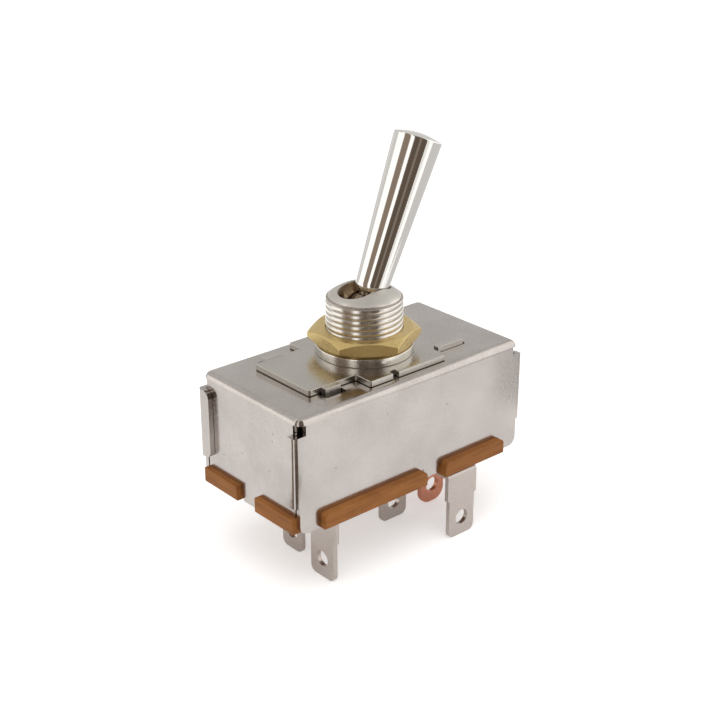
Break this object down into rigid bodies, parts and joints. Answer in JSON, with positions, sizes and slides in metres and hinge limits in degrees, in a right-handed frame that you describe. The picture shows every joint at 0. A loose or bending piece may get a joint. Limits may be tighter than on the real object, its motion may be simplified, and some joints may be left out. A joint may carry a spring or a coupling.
{
  "type": "toggle switch",
  "caption": "Heavy-duty metal toggle switch: bat-shaped lever in a threaded bushing with hex nut, steel case, brown terminal board and blade terminals.",
  "frame": {"origin": "the bushing's axis at the panel seat, the flat top of the bushing's shoulder", "axes": "+Z along the bushing out of the panel, +X along the case towards the side the lever leans to, +Y to the rear of the case"},
  "size_m": [0.0462, 0.0254, 0.0634],
  "materials": {
    "cover_steel": "satin zinc plate over formed sheet steel",
    "phenolic": "amber brown phenolic laminate, fine paper grain",
    "plate_steel": "bright plated stamping",
    "nickel_brass": "nickel plate over turned brass",
    "nut_brass": "brushed brass, lightly tarnished",
    "nickel_lever": "polished nickel plate over turned brass",
    "pin_steel": "plain turned steel",
    "frame_steel": "plated sheet steel",
    "spring_steel": "spring steel",
    "carriage_plastic": "moulded black phenolic",
    "bar_copper": "bright copper",
    "terminal_steel": "plated blade, satin",
    "terminal_copper": "bare copper blade",
    "rivet_metal": "plated rivet"
  },
  "bodies": {
    "housing": {"cover": "cover_steel", "base_board": "phenolic", "mounting_plate": "plate_steel", "bushing": "nickel_brass", "hex_nut": "nut_brass", "lever_retainer": "pin_steel", "inner_frame": "frame_steel", "detent_spring": "spring_steel", "detent_rivet": "pin_steel", "front_left_terminal": "terminal_steel", "front_left_contact": "rivet_metal", "front_right_terminal": "terminal_steel", "front_right_contact": "rivet_metal", "centre_left_terminal": "terminal_steel", "centre_left_contact": "rivet_metal", "centre_terminal": "terminal_steel", "centre_contact": "rivet_metal", "centre_right_terminal": "terminal_copper", "centre_right_contact": "rivet_metal"},
    "lever": {"toggle_lever": "nickel_lever", "pivot_pin": "pin_steel"},
    "carriage": {"contact_carriage": "carriage_plastic", "front_spring_left": "spring_steel", "front_spring_right": "spring_steel", "centre_spring_left": "spring_steel", "centre_spring_right": "spring_steel"},
    "front_bar": {"front_contact_bar": "bar_copper"},
    "centre_bar": {"centre_contact_bar": "bar_copper"}
  },
  "joints": [
    {"name": "toggle_tilt", "type": "hinge", "parent": "housing", "child": "lever", "pos_m": [0, 0, 0.005], "axis": [0, -1, 0], "range_deg": [0, 46.2]},
    {"name": "carriage_slide", "type": "slide", "parent": "housing", "child": "carriage", "axis": [1, 0, 0], "range_m": [0, 0.0109], "deforming": ["detent_spring"]},
    {"name": "front_bar_lift", "type": "slide", "parent": "carriage", "child": "front_bar", "axis": [0, 0, 1], "range_m": [0, 0.0005], "stiffness_N_per_m": 150, "springref_m": -0.01, "deforming": ["front_spring_left", "front_spring_right"]},
    {"name": "centre_bar_lift", "type": "slide", "parent": "carriage", "child": "centre_bar", "axis": [0, 0, 1], "range_m": [0, 0.0005], "stiffness_N_per_m": 150, "springref_m": -0.01, "deforming": ["centre_spring_left", "centre_spring_right"]}
  ],
  "couplings": [
    {"joint": "carriage_slide", "follows": "toggle_tilt", "m_per_rad": 0.013478}
  ]
}
